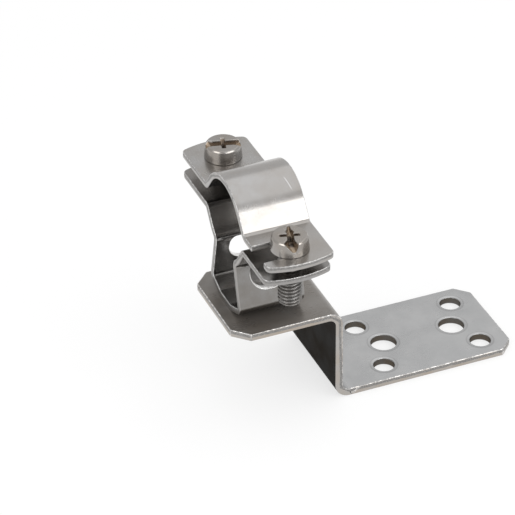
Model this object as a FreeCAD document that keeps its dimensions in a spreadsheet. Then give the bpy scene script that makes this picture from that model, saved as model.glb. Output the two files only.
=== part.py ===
import FreeCAD, Part
import os
import re

import Sketcher

# Roof conductor holder, in millimetres.
# A stepped fixing bracket carries a two-part clamp: a saddle folded from one strip, riveted to the
# raised plate, and a slotted strap over it, drawn down by two cheese-head screws.
# Origin: centre of the fixing hole pattern, on the underside of the lower plate. X runs along the
# bracket away from the clamp, Y along its width to the back, Z up.

SIZES = {
    # Bracket: a flat bar with two opposite right-angle bends.
    "plate_width": 30.0,
    "bracket_sheet": 2.0,
    "bracket_bend": 2.0,
    "upper_reach": 29.0,
    "lower_reach": 49.0,
    "step_height": 24.5,
    "upper_corner": 4.0,
    "lower_corner": 3.5,
    "pattern_offset": 28.0,
    "small_hole": 5.5,
    "small_pitch_along": 27.5,
    "small_pitch_across": 18.0,
    "large_hole": 6.8,
    "large_pitch": 19.5,
    # Clamp: both halves are folded from the same strip round the same bore.
    "clamp_sheet": 1.6,
    "clamp_width": 17.5,
    "clamp_inset": 12.0,
    "bore_radius": 10.3,
    "bore_height": 25.2,
    "tab_end_radius": 24.0,
    "tab_corner": 1.6,
    "blank_margin": 2.0,
    # Saddle: base with raised heels, leaning walls, flares that cradle the bore, two tapped tabs.
    "saddle_front_reach": 27.5,
    "saddle_rear_reach": 29.3,
    "saddle_tab_drop": 2.0,
    "heel_start": 3.2,
    "heel_rise": 22.0,
    "heel_bend": 3.0,
    "foot_bend": 0.8,
    "wall_lean": 13.0,
    "cradle_low": 60.0,
    "cradle_high": 35.0,
    "waist_bend": 1.0,
    "fold_bend": 0.5,
    "window_width": 10.0,
    "window_sill": 8.0,
    "window_head": 15.6,
    "window_sill_corner": 4.5,
    "window_head_corner": 2.0,
    # Strap: an arch whose straight legs end in two flat tabs, the rear one a little higher. The
    # front tab is slotted from its side.
    "strap_front_reach": 29.3,
    "strap_rear_reach": 29.8,
    "strap_front_rise": 2.9,
    "strap_rear_rise": 3.8,
    "leg_start": 38.0,
    "strap_bend": 1.2,
    "slot_width": 7.5,
    "slot_shift": 0.45,
    "pivot_clearance": 0.3,
    # Screws: tapered cheese head, slot and cross recess, thread shown as its outer cylinder.
    "screw_reach": 21.8,
    "front_screw_offset": 0.5,
    "screw_diameter": 6.0,
    "screw_length": 15.5,
    "head_diameter": 9.7,
    "head_height": 3.8,
    "head_taper": 5.0,
    "head_edge": 0.4,
    "screw_tip": 0.7,
    "drive_slot": 1.7,
    "drive_slot_depth": 1.9,
    "drive_wing": 1.5,
    "drive_wing_span": 5.4,
    "drive_depth": 2.4,
    "front_screw_turn": 74.0,
    "rear_screw_turn": -16.0,
    "thread_fit": 0.05,
    # Rivet through the saddle's base and the raised plate.
    "rivet_diameter": 4.0,
    "rivet_head": 6.0,
    "rivet_dome": 1.6,
    "rivet_tail": 6.4,
    "rivet_tail_height": 1.2,
    "rivet_tail_edge": 0.4,
    "rivet_fit": 0.05,
}

TOLERANCE = 1e-4

doc = FreeCAD.newDocument("roof_conductor_holder")
sheet = doc.addObject("Spreadsheet::Sheet", "Sizes")
for row, (alias, size) in enumerate(SIZES.items(), start=1):
    sheet.set(f"A{row}", alias.replace("_", " "))
    sheet.set(f"B{row}", str(size))
    sheet.setAlias(f"B{row}", alias)
doc.recompute()

# Longer names first, so that no name is taken for the start of another.
ALIASES = re.compile(r"\b(" + "|".join(sorted(SIZES, key=len, reverse=True)) + r")\b")


def bound(formula):
    """The formula with each size's name turned into a reference to its cell."""
    return ALIASES.sub(r"Sizes.\1", formula)


def at(formula):
    """The formula's present value."""
    value = sheet.evalExpression(bound(formula))
    return float(getattr(value, "Value", value))


def bind(target, path, formula):
    """Tie one dimension of an object to the sheet."""
    target.setExpression(path, bound(formula))


# Places that several pieces share.
WEB_FACE = "-pattern_offset"
WEB_BACK = "(-pattern_offset - bracket_sheet)"
RAISED_TOP = "(bracket_sheet + step_height)"
CLAMP_ALONG = "(upper_reach - clamp_inset + pattern_offset)"
BORE_UP = f"({RAISED_TOP} + bore_height)"
OUTER_RADIUS = "(bore_radius + clamp_sheet)"
SCREW_PLACES = {"front": ("-front_screw_offset", "-screw_reach"), "rear": ("0", "screw_reach")}


def new_body(label, along="0", across="0", up="0", turn="0"):
    """A body for one piece, placed from the sheet."""
    body = doc.addObject("PartDesign::Body", label)
    body.Label = label
    for axis, formula in zip("xyz", (along, across, up)):
        bind(body, f".Placement.Base.{axis}", formula)
    body.Placement.Rotation = FreeCAD.Rotation(FreeCAD.Vector(0, 0, 1), 0)
    bind(body, ".Placement.Rotation.Angle", f"({turn}) * 1 deg")
    return body


def new_sketch(body, name, plane, lift="0"):
    """A sketch on one of the body's own origin planes, lifted along the plane's normal."""
    sketch = body.newObject("Sketcher::SketchObject", f"{body.Label}_{name}")
    support = next(item for item in body.Origin.OriginFeatures if item.Role == plane)
    sketch.AttachmentSupport = [(support, "")]
    sketch.MapMode = "FlatFace"
    bind(sketch, ".AttachmentOffset.Base.z", lift)
    return sketch


def hold(sketch, kind, geometry, point, name, formula):
    """Hold a point by one of its distances from the sketch's origin."""
    index = sketch.addConstraint(Sketcher.Constraint(kind, -1, 1, geometry, point, at(formula)))
    sketch.renameConstraint(index, name)
    bind(sketch, f"Constraints.{name}", formula)


def fix_point(sketch, geometry, point, name, place):
    """Hold a point by both its distances from the sketch's origin."""
    hold(sketch, "DistanceX", geometry, point, f"{name}_X", place[0])
    hold(sketch, "DistanceY", geometry, point, f"{name}_Y", place[1])


def add_loop(sketch, corners, arcs=None, name="corner"):
    """A closed outline through corners given as formulas.

    arcs maps the number of an edge's first corner to the formulas of the edge's centre and
    whether it runs counter-clockwise; the other edges are straight. An arc is held by its two
    ends and by the distance of its centre that lies more nearly across its chord.
    """
    arcs = arcs or {}
    places = [FreeCAD.Vector(at(across), at(up), 0) for across, up in corners]
    ends = []
    for index, start in enumerate(places):
        finish = places[(index + 1) % len(places)]
        if index not in arcs:
            geometry = sketch.addGeometry(Part.LineSegment(start, finish), False)
            ends.append((geometry, 1, 2))
            continue
        centre, counter_clockwise = arcs[index]
        middle = FreeCAD.Vector(at(centre[0]), at(centre[1]), 0)
        circle = Part.Circle(middle, FreeCAD.Vector(0, 0, 1), (start - middle).Length)
        first, last = (start, finish) if counter_clockwise else (finish, start)
        span = Part.ArcOfCircle(circle, circle.parameter(first), circle.parameter(last))
        geometry = sketch.addGeometry(span, False)
        ends.append((geometry, 1, 2) if counter_clockwise else (geometry, 2, 1))
        chord = finish - start
        kind, place = ("DistanceY", 1) if abs(chord.x) > abs(chord.y) else ("DistanceX", 0)
        hold(sketch, kind, geometry, 3, f"{name}_{index}_centre", centre[place])
    for index, (geometry, _, last) in enumerate(ends):
        following, first, _ = ends[(index + 1) % len(ends)]
        sketch.addConstraint(Sketcher.Constraint("Coincident", geometry, last, following, first))
    for index, place in enumerate(corners):
        fix_point(sketch, ends[index][0], ends[index][1], f"{name}_{index}", place)


def add_circle(sketch, diameter, place, name):
    """A circle held by its centre and its diameter."""
    centre = FreeCAD.Vector(at(place[0]), at(place[1]), 0)
    circle = Part.Circle(centre, FreeCAD.Vector(0, 0, 1), at(diameter) / 2)
    geometry = sketch.addGeometry(circle, False)
    label = f"{name}_diameter"
    sketch.renameConstraint(
        sketch.addConstraint(Sketcher.Constraint("Diameter", geometry, at(diameter))), label)
    bind(sketch, f"Constraints.{label}", diameter)
    fix_point(sketch, geometry, 3, name, place)


def pad_both_ways(body, sketch, length):
    """Draw a profile out by the same amount to both sides of its plane."""
    pad = body.newObject("PartDesign::Pad", f"{sketch.Name}_pad")
    pad.Profile = sketch
    pad.SideType = "Symmetric"
    bind(pad, "Length", length)
    doc.recompute()
    return pad


def cut(body, sketch, depth=None):
    """Cut a profile out of the body: right through both ways, or down to a depth."""
    before = body.Shape.Volume
    pocket = body.newObject("PartDesign::Pocket", f"{sketch.Name}_cut")
    pocket.Profile = sketch
    if depth is None:
        pocket.Type = "ThroughAll"
        pocket.SideType = "Symmetric"
    else:
        pocket.Type = "Length"
        bind(pocket, "Length", depth)
    doc.recompute()
    if not body.Shape.Volume < before - TOLERANCE:
        raise RuntimeError(f"{pocket.Name} removes nothing")
    return pocket


def edges_at(body, axis, places):
    """The straight edges along an axis (0, 1 or 2) that pass through the given places.

    A place gives the formulas of the two coordinates across the axis, in the body's own frame.
    """
    spots = [(at(first), at(second)) for first, second in places]
    across = [number for number in range(3) if number != axis]
    found = []
    for number, edge in enumerate(body.Tip.Shape.Edges, start=1):
        if len(edge.Vertexes) != 2 or not isinstance(edge.Curve, Part.Line):
            continue
        ends = [vertex.Point for vertex in edge.Vertexes]
        for spot in spots:
            gaps = [abs(end[place] - goal) for end in ends for place, goal in zip(across, spot)]
            if max(gaps) < 10 * TOLERANCE:
                found.append(f"Edge{number}")
    if len(found) < len(spots):
        raise RuntimeError(f"{body.Label}: {len(found)} edges found at {len(spots)} places")
    return found


def rims_at(body, level):
    """The round edges that lie level at a height given as a formula."""
    return [f"Edge{number}" for number, edge in enumerate(body.Tip.Shape.Edges, start=1)
            if isinstance(edge.Curve, Part.Circle)
            and abs(edge.Curve.Axis.z) > 1 - TOLERANCE
            and abs(edge.Curve.Center.z - at(level)) < TOLERANCE]


def round_edges(body, name, edges, radius, kind="PartDesign::Fillet", size="Radius"):
    """Round or chamfer the named edges of the body as it stands."""
    base = body.Tip
    feature = body.newObject(kind, f"{body.Label}_{name}")
    feature.Base = (base, edges)
    bind(feature, size, radius)
    doc.recompute()
    return feature


def mirrored(place):
    """A place's mirror image across the middle."""
    return (f"-({place[0]})", place[1])


def fold_along(body, name, hollows, crowns, radius):
    """Round a fold of the sheet: its hollow side at one radius, its crown a sheet further out."""
    round_edges(body, f"{name}_hollow", edges_at(body, 0, hollows), radius)
    round_edges(body, f"{name}_crown", edges_at(body, 0, crowns), f"{radius} + clamp_sheet")


def tangent_leg(radius, angle, level, centre="0", side="+"):
    """The end of an arc and the place where its straight tangent meets a level.

    side is "+" for an arc above its centre, whose leg runs down, and "-" for one below it,
    whose leg runs up.
    """
    end = (f"{radius} * cos({angle})", f"({centre} {side} {radius} * sin({angle}))")
    fold = (f"({end[0]} + abs({end[1]} - {level}) * tan({angle}))", level)
    return end, fold


def trim_to_plan(body, front, rear):
    """Cut a folded blank to its plan: straight sides and gently arced ends."""
    half = "clamp_width / 2"
    wide = "(clamp_width / 2 + 2 * blank_margin)"
    drop = "(tab_end_radius - sqrt(tab_end_radius ^ 2 - (clamp_width / 2) ^ 2))"
    near = f"({drop} - {front})"
    far = f"({rear} - {drop})"
    plan = new_sketch(body, "plan", "XY_Plane")
    rear_arc = (("0", f"({rear} - tab_end_radius)"), True)
    front_arc = (("0", f"(tab_end_radius - {front})"), True)
    arcs = {1: rear_arc, 3: front_arc}
    add_loop(plan, [(half, near), (half, far), (f"-{half}", far), (f"-{half}", near)], arcs)
    below = f"-({front} + blank_margin)"
    above = f"({rear} + blank_margin)"
    frame = [(wide, below), (wide, above), (f"-{wide}", above), (f"-{wide}", below)]
    add_loop(plan, frame, name="frame")
    cut(body, plan)
    tab_corners = [(x, y) for x in (half, f"-{half}") for y in (near, far)]
    round_edges(body, "tab_corners", edges_at(body, 2, tab_corners), "tab_corner")


def fixing_bracket():
    """The stepped bracket: raised plate, web and drilled lower plate."""
    body = new_body("fixing_bracket")
    profile = new_sketch(body, "profile", "XZ_Plane")
    free_left = f"({WEB_FACE} - upper_reach)"
    free_right = "(lower_reach - pattern_offset)"
    add_loop(profile, [
        (free_left, RAISED_TOP),
        (WEB_FACE, RAISED_TOP),
        (WEB_FACE, "bracket_sheet"),
        (free_right, "bracket_sheet"),
        (free_right, "0"),
        (WEB_BACK, "0"),
        (WEB_BACK, "step_height"),
        (free_left, "step_height"),
    ])
    pad_both_ways(body, profile, "plate_width")
    inside = [(WEB_FACE, "bracket_sheet"), (WEB_BACK, "step_height")]
    outside = [(WEB_FACE, RAISED_TOP), (WEB_BACK, "0")]
    round_edges(body, "inner_bends", edges_at(body, 1, inside), "bracket_bend")
    round_edges(body, "outer_bends", edges_at(body, 1, outside), "bracket_bend + bracket_sheet")
    for name, end, size in (("raised_corners", free_left, "upper_corner"),
                            ("lower_corners", free_right, "lower_corner")):
        edges = edges_at(body, 2, [(end, "plate_width / 2"), (end, "-plate_width / 2")])
        round_edges(body, name, edges, size, "PartDesign::Chamfer", "Size")

    drill = new_sketch(body, "holes", "XY_Plane")
    for column in ("-", ""):
        for line in ("-", ""):
            place = (f"{column}small_pitch_along / 2", f"{line}small_pitch_across / 2")
            add_circle(drill, "small_hole", place, f"small_{len(column)}{len(line)}")
        add_circle(drill, "large_hole", (f"{column}large_pitch / 2", "0"), f"large_{len(column)}")
    rivet_place = (f"-{CLAMP_ALONG}", "0")
    add_circle(drill, "rivet_diameter + 2 * rivet_fit", rivet_place, "rivet")
    cut(body, drill)
    return body


def saddle_outline():
    """The folded strip's outline across the bore, its arcs, and its folds, hollow side first.

    Each surface is listed from the middle outwards. The wall's outer face meets the outer circle
    of the flare at its own angle, and the heel and foot corners are mitred to keep the thickness.
    """
    low = "bore_height"
    waist = ("bore_radius * cos(cradle_low)", f"({low} - bore_radius * sin(cradle_low))")
    bevel = (f"(({waist[0]} - heel_start + ({waist[1]} - clamp_sheet) * tan(wall_lean))"
             " / (cos(heel_rise) + sin(heel_rise) * tan(wall_lean)))")
    foot = (f"(heel_start + {bevel} * cos(heel_rise))", f"(clamp_sheet + {bevel} * sin(heel_rise))")
    mitre = "clamp_sheet / (1 + sin(heel_rise - wall_lean))"
    foot_out = (f"({foot[0]} + {mitre} * (sin(heel_rise) + cos(wall_lean)))",
                f"({foot[1]} + {mitre} * (sin(wall_lean) - cos(heel_rise)))")
    wall_angle = (f"(acos((bore_radius * cos(cradle_low + wall_lean) + clamp_sheet) / {OUTER_RADIUS})"
                  " - wall_lean * 1 deg)")
    wall_out = (f"{OUTER_RADIUS} * cos({wall_angle})", f"({low} - {OUTER_RADIUS} * sin({wall_angle}))")
    tab_top = f"({low} - saddle_tab_drop)"
    tab_under = f"({tab_top} - clamp_sheet)"
    flare_in, fold_in = tangent_leg("bore_radius", "cradle_high", tab_top, low, "-")
    flare_out, fold_out = tangent_leg(OUTER_RADIUS, "cradle_high", tab_under, low, "-")
    heel_in = ("heel_start", "clamp_sheet")
    heel_out = ("(heel_start + clamp_sheet * tan(heel_rise / 2))", "0")
    upper = [heel_in, foot, waist, flare_in, fold_in]
    under = [heel_out, foot_out, wall_out, flare_out, fold_out]
    rear_end = [("saddle_rear_reach", tab_under), ("saddle_rear_reach", tab_top)]
    front_end = [("-saddle_front_reach", tab_top), ("-saddle_front_reach", tab_under)]
    loop = rear_end[1:] + upper[::-1] + [mirrored(place) for place in upper] + front_end
    loop += [mirrored(place) for place in under[::-1]] + under + rear_end[:1]
    axis = ("0", low)
    arcs = {2: (axis, False), 8: (axis, False), 14: (axis, True), 20: (axis, True)}
    bends = {
        "heels": (heel_in, heel_out, "heel_bend"),
        "feet": (foot, foot_out, "foot_bend"),
        "waists": (wall_out, waist, "waist_bend"),
        "folds": (fold_out, fold_in, "fold_bend"),
    }
    return loop, arcs, bends


def clamp_saddle():
    """The lower half of the clamp, folded from one strip."""
    body = new_body("clamp_saddle", f"-{CLAMP_ALONG}", "0", RAISED_TOP)
    loop, arcs, bends = saddle_outline()
    profile = new_sketch(body, "profile", "YZ_Plane")
    add_loop(profile, loop, arcs)
    pad_both_ways(body, profile, "clamp_width + 2 * blank_margin")
    for name, (hollow, crown, radius) in bends.items():
        fold_along(body, name, [hollow, mirrored(hollow)], [crown, mirrored(crown)], radius)
    trim_to_plan(body, "saddle_front_reach", "saddle_rear_reach")

    window = new_sketch(body, "window", "XZ_Plane")
    side = "window_width / 2"
    sill = "window_sill_corner"
    head = "window_head_corner"
    corners = [
        (side, f"window_sill + {sill}"),
        (side, f"window_head - {head}"),
        (f"{side} - {head}", "window_head"),
        (f"-({side} - {head})", "window_head"),
        (f"-{side}", f"window_head - {head}"),
        (f"-{side}", f"window_sill + {sill}"),
        (f"-({side} - {sill})", "window_sill"),
        (f"{side} - {sill}", "window_sill"),
    ]
    arcs = {
        1: ((f"{side} - {head}", f"window_head - {head}"), True),
        3: ((f"-({side} - {head})", f"window_head - {head}"), True),
        5: ((f"-({side} - {sill})", f"window_sill + {sill}"), True),
        7: ((f"{side} - {sill}", f"window_sill + {sill}"), True),
    }
    add_loop(window, corners, arcs)
    cut(body, window)

    holes = new_sketch(body, "holes", "XY_Plane")
    for name, place in SCREW_PLACES.items():
        add_circle(holes, "screw_diameter + 2 * thread_fit", place, name)
    add_circle(holes, "rivet_diameter + 2 * rivet_fit", ("0", "0"), "rivet")
    cut(body, holes)
    return body


def clamp_strap():
    """The upper half of the clamp: arch, round-holed rear tab and side-slotted front tab."""
    body = new_body("clamp_strap", f"-{CLAMP_ALONG}", "0", BORE_UP)

    def half_outline(reach, top):
        """One side from the arch's outer end round the tab to its inner end, and the two folds."""
        under = f"({top} - clamp_sheet)"
        end_out, fold_out = tangent_leg(OUTER_RADIUS, "leg_start", top)
        end_in, fold_in = tangent_leg("bore_radius", "leg_start", under)
        return [end_out, fold_out, (reach, top), (reach, under), fold_in, end_in], fold_out, fold_in

    rear, rear_hollow, rear_crown = half_outline("strap_rear_reach", "strap_rear_rise")
    front, front_hollow, front_crown = half_outline("strap_front_reach", "strap_front_rise")
    profile = new_sketch(body, "profile", "YZ_Plane")
    axis = ("0", "0")
    loop = rear[::-1] + [mirrored(place) for place in front]
    add_loop(profile, loop, {5: (axis, True), 11: (axis, False)})
    pad_both_ways(body, profile, "clamp_width + 2 * blank_margin")
    hollows = [rear_hollow, mirrored(front_hollow)]
    crowns = [rear_crown, mirrored(front_crown)]
    fold_along(body, "folds", hollows, crowns, "strap_bend")
    trim_to_plan(body, "strap_front_reach", "strap_rear_reach")

    openings = new_sketch(body, "openings", "XY_Plane")
    pivot = "screw_diameter + 2 * pivot_clearance"
    add_circle(openings, pivot, SCREW_PLACES["rear"], "pivot")
    closed_end = SCREW_PLACES["front"][0]
    middle = "(slot_shift - screw_reach)"
    mouth = "-(clamp_width / 2 + blank_margin)"
    near = f"({middle} - slot_width / 2)"
    far = f"({middle} + slot_width / 2)"
    corners = [(mouth, near), (closed_end, near), (closed_end, far), (mouth, far)]
    add_loop(openings, corners, {1: ((closed_end, middle), True)})
    cut(body, openings)
    return body


def clamp_screw(side):
    """A cheese-head screw, its head's seat at its own origin, its slot along its own X."""
    label = f"{side}_screw"
    along, across = SCREW_PLACES[side]
    seat = f"{BORE_UP} + strap_{side}_rise"
    body = new_body(label, f"{along} - {CLAMP_ALONG}", across, seat, f"{side}_screw_turn")
    half = new_sketch(body, "half", "XZ_Plane")
    shank = "screw_diameter / 2"
    add_loop(half, [
        ("0", "head_height"),
        ("head_diameter / 2 - head_height * tan(head_taper)", "head_height"),
        ("head_diameter / 2", "0"),
        (shank, "0"),
        (shank, "screw_tip - screw_length"),
        (f"{shank} - screw_tip", "-screw_length"),
        ("0", "-screw_length"),
    ])
    turned = body.newObject("PartDesign::Revolution", f"{label}_turned")
    turned.Profile = half
    turned.ReferenceAxis = (half, ["V_Axis"])
    turned.Angle = 360
    doc.recompute()
    round_edges(body, "head_edge", rims_at(body, "head_height"), "head_edge")

    slot = new_sketch(body, "slot", "XY_Plane", "head_height")
    run = "(head_diameter / 2 + blank_margin)"
    breadth = "drive_slot / 2"
    near = f"-{breadth}"
    far = breadth
    add_loop(slot, [(f"-{run}", near), (run, near), (run, far), (f"-{run}", far)])
    cut(body, slot, "drive_slot_depth")
    cross = new_sketch(body, "cross", "XY_Plane", "head_height")
    span = "drive_wing_span / 2"
    wing = "drive_wing / 2"
    add_loop(cross, [
        (f"-{wing}", f"-{span}"), (wing, f"-{span}"), (wing, f"-{wing}"), (span, f"-{wing}"),
        (span, wing), (wing, wing), (wing, span), (f"-{wing}", span),
        (f"-{wing}", wing), (f"-{span}", wing), (f"-{span}", f"-{wing}"), (f"-{wing}", f"-{wing}"),
    ])
    cut(body, cross, "drive_depth")
    return body


def saddle_rivet():
    """The domed rivet that holds the saddle down, closed under the raised plate."""
    body = new_body("saddle_rivet", f"-{CLAMP_ALONG}", "0", RAISED_TOP)
    half = new_sketch(body, "half", "XZ_Plane")
    shank = "rivet_diameter / 2"
    head = "rivet_head / 2"
    tail = "rivet_tail / 2"
    dome = f"(({head}) ^ 2 + rivet_dome ^ 2) / (2 * rivet_dome)"
    bottom = "(-bracket_sheet - rivet_tail_height)"
    corners = [
        (head, "clamp_sheet"),
        ("0", "clamp_sheet + rivet_dome"),
        ("0", bottom),
        (f"{tail} - rivet_tail_edge", bottom),
        (tail, f"{bottom} + rivet_tail_edge"),
        (tail, "-bracket_sheet"),
        (shank, "-bracket_sheet"),
        (shank, "clamp_sheet"),
    ]
    add_loop(half, corners, {0: (("0", f"clamp_sheet + rivet_dome - {dome}"), True)})
    turned = body.newObject("PartDesign::Revolution", "saddle_rivet_turned")
    turned.Profile = half
    turned.ReferenceAxis = (half, ["V_Axis"])
    turned.Angle = 360
    doc.recompute()
    return body


pieces = [
    fixing_bracket(),
    clamp_saddle(),
    clamp_strap(),
    clamp_screw("front"),
    clamp_screw("rear"),
    saddle_rivet(),
]
doc.recompute()

for item in doc.Objects:
    if {"Invalid", "Error"} & set(item.State):
        raise RuntimeError(f"{item.Label} failed: {item.State}")
for body in pieces:
    if body.Shape.isNull() or not body.Shape.isValid() or len(body.Shape.Solids) != 1:
        raise RuntimeError(f"{body.Label} is not one valid solid")

os.makedirs("parts", exist_ok=True)
for body in pieces:
    body.Shape.exportStep(f"parts/{body.Label}.step")
    box = body.Shape.BoundBox
    print(f"{body.Label}: volume {body.Shape.Volume:.1f}, x {box.XMin:.2f} to {box.XMax:.2f}, "
          f"y {box.YMin:.2f} to {box.YMax:.2f}, z {box.ZMin:.2f} to {box.ZMax:.2f}")
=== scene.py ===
"""Roof conductor holder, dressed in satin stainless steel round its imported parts."""

import logging
import math
from dataclasses import dataclass, field
from enum import Enum

import bmesh
import bpy
from mathutils import Matrix, Vector
from mathutils.bvhtree import BVHTree

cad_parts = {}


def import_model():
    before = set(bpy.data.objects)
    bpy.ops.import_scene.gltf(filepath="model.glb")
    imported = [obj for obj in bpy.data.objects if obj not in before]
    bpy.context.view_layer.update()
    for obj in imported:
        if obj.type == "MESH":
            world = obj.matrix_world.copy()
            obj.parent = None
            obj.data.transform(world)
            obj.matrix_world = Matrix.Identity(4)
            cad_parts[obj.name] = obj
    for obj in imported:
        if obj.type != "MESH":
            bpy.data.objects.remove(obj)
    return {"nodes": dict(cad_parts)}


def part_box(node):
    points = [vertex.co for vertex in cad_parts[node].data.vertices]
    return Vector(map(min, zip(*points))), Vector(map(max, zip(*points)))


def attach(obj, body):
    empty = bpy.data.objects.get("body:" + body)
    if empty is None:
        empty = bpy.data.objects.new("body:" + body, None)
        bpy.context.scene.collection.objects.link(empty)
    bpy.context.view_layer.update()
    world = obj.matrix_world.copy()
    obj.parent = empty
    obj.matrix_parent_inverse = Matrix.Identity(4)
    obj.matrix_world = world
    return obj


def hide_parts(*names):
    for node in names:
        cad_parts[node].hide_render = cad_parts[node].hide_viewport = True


log = logging.getLogger("roof_conductor_holder")

Socket = bpy.types.NodeSocket
Pair = tuple[float, float]
Triple = tuple[float, float, float]
Colour = tuple[float, float, float, float]

MM = 0.001
MERGE_DISTANCE = 0.002 * MM
FLAT_ANGLE = math.radians(0.5)
SHARP_ANGLE = math.radians(32.0)
UNROUNDED_ANGLE = math.radians(50.0)
PROBE_STEP = 0.02
EDGE_MAP = "edge_depth"
EDGE_WEIGHT = "bevel_weight_edge"
RECESS_DEPTH = "recess_depth"


class Axis(Enum):
    """The direction in which a sheet was rolled, as the stretch of its grain."""

    ALONG_BRACKET = (0.12, 1.0, 1.0)
    ALONG_STRIP = (1.0, 0.12, 0.3)
    TURNED = (1.0, 1.0, 0.15)


class Pattern(Enum):
    """The noises on the metal: features in a metre, detail and roughness."""

    GRAIN = (5200.0, 2.0, 0.55)
    SPECKLE = (2600.0, 2.0, 0.55)
    CLOUDS = (140.0, 4.0, 0.6)
    BLOTCHES = (45.0, 2.0, 0.55)
    HAZE = (170.0, 3.0, 0.6)
    SCUFFS = (420.0, 5.0, 0.7)
    WAVES = (120.0, 1.0, 0.55)
    # The next two give the unevenness and the tones of the bracket's painted shade.
    PAINTED_SHADE = (90.0, 3.0, 0.55)
    PAINTED_SHADE_TONES = (110.0, 3.0, 0.5)
    WOBBLE = (500.0, 2.0, 0.55)
    TORN = (4200.0, 2.0, 0.7)
    BROKEN = (1300.0, 3.0, 0.7)
    RESIDUE = (900.0, 3.0, 0.6)


class Trees:
    """Short ways to add and join shader and geometry nodes."""

    def __init__(self, tree: bpy.types.NodeTree) -> None:
        """Start with an empty tree."""
        self.tree = tree
        tree.nodes.clear()

    def add(self, kind: str, **settings: object) -> bpy.types.Node:
        """Add a node.

        Args:
            kind: The node's type name.
            settings: Its own properties, by name.

        Returns:
            The new node.
        """
        node = self.tree.nodes.new(kind)
        for name, value in settings.items():
            setattr(node, name, value)
        return node

    def join(self, source: Socket, target: Socket) -> None:
        """Link an output to an input."""
        self.tree.links.new(source, target)

    def put(self, value: object, target: Socket) -> None:
        """Link a socket, or set a plain value, on an input.

        Args:
            value: The socket or the value.
            target: The input.
        """
        if isinstance(value, Socket):
            self.join(value, target)
        else:
            target.default_value = value

    def maths(self, operation: str, *values: object, clamp: bool = False) -> Socket:
        """One step of arithmetic.

        Args:
            operation: The Math node's operation.
            values: Sockets or numbers for its inputs.
            clamp: Whether the result is held between 0 and 1.

        Returns:
            The result's socket.
        """
        node = self.add("ShaderNodeMath", operation=operation, use_clamp=clamp)
        for socket, value in zip(node.inputs, values):
            self.put(value, socket)
        return node.outputs[0]

    def remap(self, value: Socket, reach: Pair, onto: Pair = (0.0, 1.0)) -> Socket:
        """Stretch a range of values onto another and hold it there.

        Args:
            value: The value's socket.
            reach: The range that is taken.
            onto: What its two ends become.

        Returns:
            The result's socket.
        """
        node = self.add("ShaderNodeMapRange")
        for socket, number in zip(node.inputs, (value, *reach, *onto)):
            self.put(number, socket)
        return node.outputs[0]

    def blend(self, share: Socket, first: object, second: object) -> Socket:
        """Mix two colours.

        Args:
            share: How much of the second.
            first: Socket or colour.
            second: Socket or colour.

        Returns:
            The mixed colour's socket.
        """
        node = self.add("ShaderNodeMix", data_type="RGBA", blend_type="MIX", clamp_factor=True)
        colours = [socket for socket in node.inputs if socket.type == "RGBA"]
        self.put(share, node.inputs[0])
        for value, socket in zip((first, second), colours):
            self.put(value, socket)
        return next(socket for socket in node.outputs if socket.type == "RGBA")

    def split(self, vector: Socket) -> dict[str, Socket]:
        """Take a vector apart.

        Args:
            vector: The vector's socket.

        Returns:
            The sockets of its X, Y and Z.
        """
        node = self.add("ShaderNodeSeparateXYZ")
        self.join(vector, node.inputs[0])
        return {socket.name: socket for socket in node.outputs}

    def stretch(self, place: Socket, scale: Triple) -> Socket:
        """Scale a place.

        Args:
            place: The place's socket.
            scale: The three factors.

        Returns:
            The scaled place's socket.
        """
        node = self.add("ShaderNodeMapping")
        node.inputs["Scale"].default_value = scale
        self.join(place, node.inputs["Vector"])
        return node.outputs[0]

    def noise(self, place: Socket, pattern: Pattern) -> Socket:
        """Cloudy noise at a place.

        Args:
            place: The place's socket.
            pattern: The kind of noise.

        Returns:
            The noise's socket.
        """
        node = self.add("ShaderNodeTexNoise")
        self.join(place, node.inputs["Vector"])
        for name, value in zip(("Scale", "Detail", "Roughness"), pattern.value):
            node.inputs[name].default_value = value
        return node.outputs["Fac"]

    def bump(self, height: Socket, strength: float, distance: float,
             under: Socket | None = None) -> Socket:
        """Fine relief that only the shading shows.

        Args:
            height: The relief's height.
            strength: How strongly it shows.
            distance: The height that 1 stands for, in metres.
            under: Relief that it lies on.

        Returns:
            The normal's socket.
        """
        node = self.add("ShaderNodeBump")
        node.inputs["Strength"].default_value = strength
        node.inputs["Distance"].default_value = distance
        self.join(height, node.inputs["Height"])
        if under is not None:
            self.join(under, node.inputs["Normal"])
        return node.outputs[0]


def grey(level: float, warmth: float = 0.0) -> Colour:
    """A grey of a linear level, a little warmer or cooler."""
    return (level * (1 + warmth), level, level * (1 - warmth), 1.0)


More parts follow.
